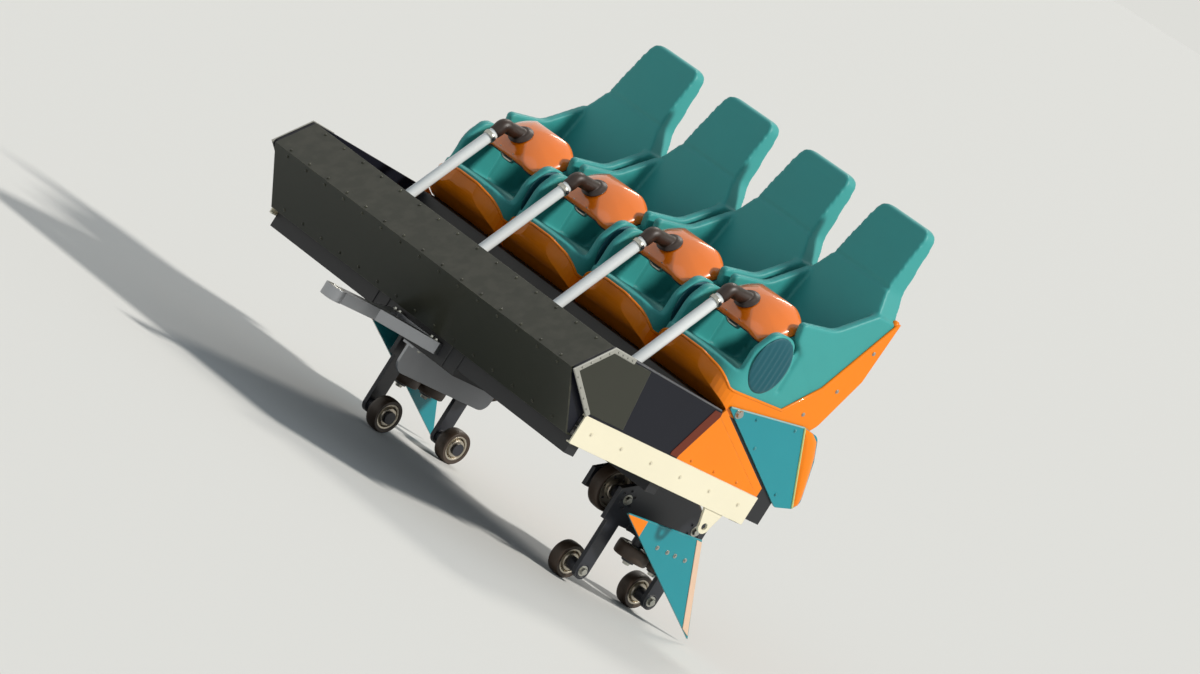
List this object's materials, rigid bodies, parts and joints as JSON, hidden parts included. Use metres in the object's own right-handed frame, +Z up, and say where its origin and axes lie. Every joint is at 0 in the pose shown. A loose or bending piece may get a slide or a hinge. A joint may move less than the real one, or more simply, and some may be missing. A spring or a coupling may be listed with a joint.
{
  "type": "roller coaster car",
  "caption": "Open coaster car: a row of bucket seats with clamshell lap restraints on a sill-edged footwell, over tandem wheel bogies with a drawbar.",
  "frame": {"origin": "middle of the car's box, on the floor under the up-stop wheels", "axes": "+X towards the front of the car, +Y to its left, +Z up"},
  "size_m": [2.2999, 2.43, 2.31],
  "materials": {
    "frame_black": "satin black paint",
    "frame_steel": "satin dark grey paint",
    "bare_steel": "worn bare steel",
    "nose_olive": "dark olive gloss",
    "floor_sheet": "dark textured sheet",
    "panel_black": "satin black moulded panel",
    "sill_cream": "cream paint",
    "orange_gloss": "glossy orange paint",
    "teal_panel": "satin teal paint",
    "teal_seat": "satin moulded skin",
    "orange_shell": "glossy lacquer",
    "arm_white": "white paint",
    "wheel": "cast polyurethane on an aluminium hub"
  },
  "bodies": {
    "car": {"chassis_frame": "frame_black", "axle_beam": "frame_steel", "drawbar": "bare_steel", "brake_blade": "bare_steel", "floor_pan": "floor_sheet", "toe_board": "nose_olive", "seat_bench": "frame_black", "back_frame": "frame_steel", "restraint_brackets": "bare_steel", "sill_left": "sill_cream", "side_panel_left": "panel_black", "fender_left": "orange_gloss", "fin_left": "teal_panel", "sill_right": "sill_cream", "side_panel_right": "panel_black", "fender_right": "orange_gloss", "fin_right": "teal_panel", "seat_1": "teal_seat", "seat_shell_1": "orange_shell", "seat_2": "teal_seat", "seat_shell_2": "orange_shell", "seat_3": "teal_seat", "seat_shell_3": "orange_shell", "seat_4": "teal_seat", "seat_shell_4": "orange_shell"},
    "restraint_1": {"restraint_arm_1": "arm_white", "restraint_pad_1": "orange_shell"},
    "restraint_2": {"restraint_arm_2": "arm_white", "restraint_pad_2": "orange_shell"},
    "restraint_3": {"restraint_arm_3": "arm_white", "restraint_pad_3": "orange_shell"},
    "restraint_4": {"restraint_arm_4": "arm_white", "restraint_pad_4": "orange_shell"},
    "bogie_left": {"bogie_left": "frame_steel", "bogie_fairing_left": "teal_panel"},
    "load_wheel_left_front": {"load_wheel_left_front": "wheel"},
    "guide_wheel_left_front": {"guide_wheel_left_front": "wheel"},
    "upstop_wheel_left_front": {"upstop_wheel_left_front": "wheel"},
    "load_wheel_left_rear": {"load_wheel_left_rear": "wheel"},
    "guide_wheel_left_rear": {"guide_wheel_left_rear": "wheel"},
    "upstop_wheel_left_rear": {"upstop_wheel_left_rear": "wheel"},
    "bogie_right": {"bogie_right": "frame_steel", "bogie_fairing_right": "teal_panel"},
    "load_wheel_right_front": {"load_wheel_right_front": "wheel"},
    "guide_wheel_right_front": {"guide_wheel_right_front": "wheel"},
    "upstop_wheel_right_front": {"upstop_wheel_right_front": "wheel"},
    "load_wheel_right_rear": {"load_wheel_right_rear": "wheel"},
    "guide_wheel_right_rear": {"guide_wheel_right_rear": "wheel"},
    "upstop_wheel_right_rear": {"upstop_wheel_right_rear": "wheel"}
  },
  "joints": [
    {"name": "restraint_hinge_1", "type": "hinge", "parent": "car", "child": "restraint_1", "pos_m": [0.28, 0.9, 0.755], "axis": [0, 1, 0], "range_deg": [0, 50]},
    {"name": "restraint_hinge_2", "type": "hinge", "parent": "car", "child": "restraint_2", "pos_m": [0.28, 0.3, 0.755], "axis": [0, 1, 0], "range_deg": [0, 50]},
    {"name": "restraint_hinge_3", "type": "hinge", "parent": "car", "child": "restraint_3", "pos_m": [0.28, -0.3, 0.755], "axis": [0, 1, 0], "range_deg": [0, 50]},
    {"name": "restraint_hinge_4", "type": "hinge", "parent": "car", "child": "restraint_4", "pos_m": [0.28, -0.9, 0.755], "axis": [0, 1, 0], "range_deg": [0, 50]},
    {"name": "bogie_turn_left", "type": "hinge", "parent": "car", "child": "bogie_left", "pos_m": [-0.71, 0.75, 0.625], "axis": [0, 0, 1], "range_deg": [-6, 6]},
    {"name": "load_wheel_left_front_spin", "type": "hinge", "parent": "bogie_left", "child": "load_wheel_left_front", "pos_m": [-0.44, 0.75, 0.49], "axis": [0, 1, 0], "continuous": true},
    {"name": "guide_wheel_left_front_spin", "type": "hinge", "parent": "bogie_left", "child": "guide_wheel_left_front", "pos_m": [-0.61, 0.932, 0.28], "axis": [0, 0, 1], "continuous": true},
    {"name": "upstop_wheel_left_front_spin", "type": "hinge", "parent": "bogie_left", "child": "upstop_wheel_left_front", "pos_m": [-0.44, 0.75, 0.09], "axis": [0, 1, 0], "continuous": true},
    {"name": "load_wheel_left_rear_spin", "type": "hinge", "parent": "bogie_left", "child": "load_wheel_left_rear", "pos_m": [-0.98, 0.75, 0.49], "axis": [0, 1, 0], "continuous": true},
    {"name": "guide_wheel_left_rear_spin", "type": "hinge", "parent": "bogie_left", "child": "guide_wheel_left_rear", "pos_m": [-0.81, 0.932, 0.28], "axis": [0, 0, 1], "continuous": true},
    {"name": "upstop_wheel_left_rear_spin", "type": "hinge", "parent": "bogie_left", "child": "upstop_wheel_left_rear", "pos_m": [-0.98, 0.75, 0.09], "axis": [0, 1, 0], "continuous": true},
    {"name": "bogie_turn_right", "type": "hinge", "parent": "car", "child": "bogie_right", "pos_m": [-0.71, -0.75, 0.625], "axis": [0, 0, 1], "range_deg": [-6, 6]},
    {"name": "load_wheel_right_front_spin", "type": "hinge", "parent": "bogie_right", "child": "load_wheel_right_front", "pos_m": [-0.44, -0.75, 0.49], "axis": [0, 1, 0], "continuous": true},
    {"name": "guide_wheel_right_front_spin", "type": "hinge", "parent": "bogie_right", "child": "guide_wheel_right_front", "pos_m": [-0.61, -0.932, 0.28], "axis": [0, 0, 1], "continuous": true},
    {"name": "upstop_wheel_right_front_spin", "type": "hinge", "parent": "bogie_right", "child": "upstop_wheel_right_front", "pos_m": [-0.44, -0.75, 0.09], "axis": [0, 1, 0], "continuous": true},
    {"name": "load_wheel_right_rear_spin", "type": "hinge", "parent": "bogie_right", "child": "load_wheel_right_rear", "pos_m": [-0.98, -0.75, 0.49], "axis": [0, 1, 0], "continuous": true},
    {"name": "guide_wheel_right_rear_spin", "type": "hinge", "parent": "bogie_right", "child": "guide_wheel_right_rear", "pos_m": [-0.81, -0.932, 0.28], "axis": [0, 0, 1], "continuous": true},
    {"name": "upstop_wheel_right_rear_spin", "type": "hinge", "parent": "bogie_right", "child": "upstop_wheel_right_rear", "pos_m": [-0.98, -0.75, 0.09], "axis": [0, 1, 0], "continuous": true}
  ]
}
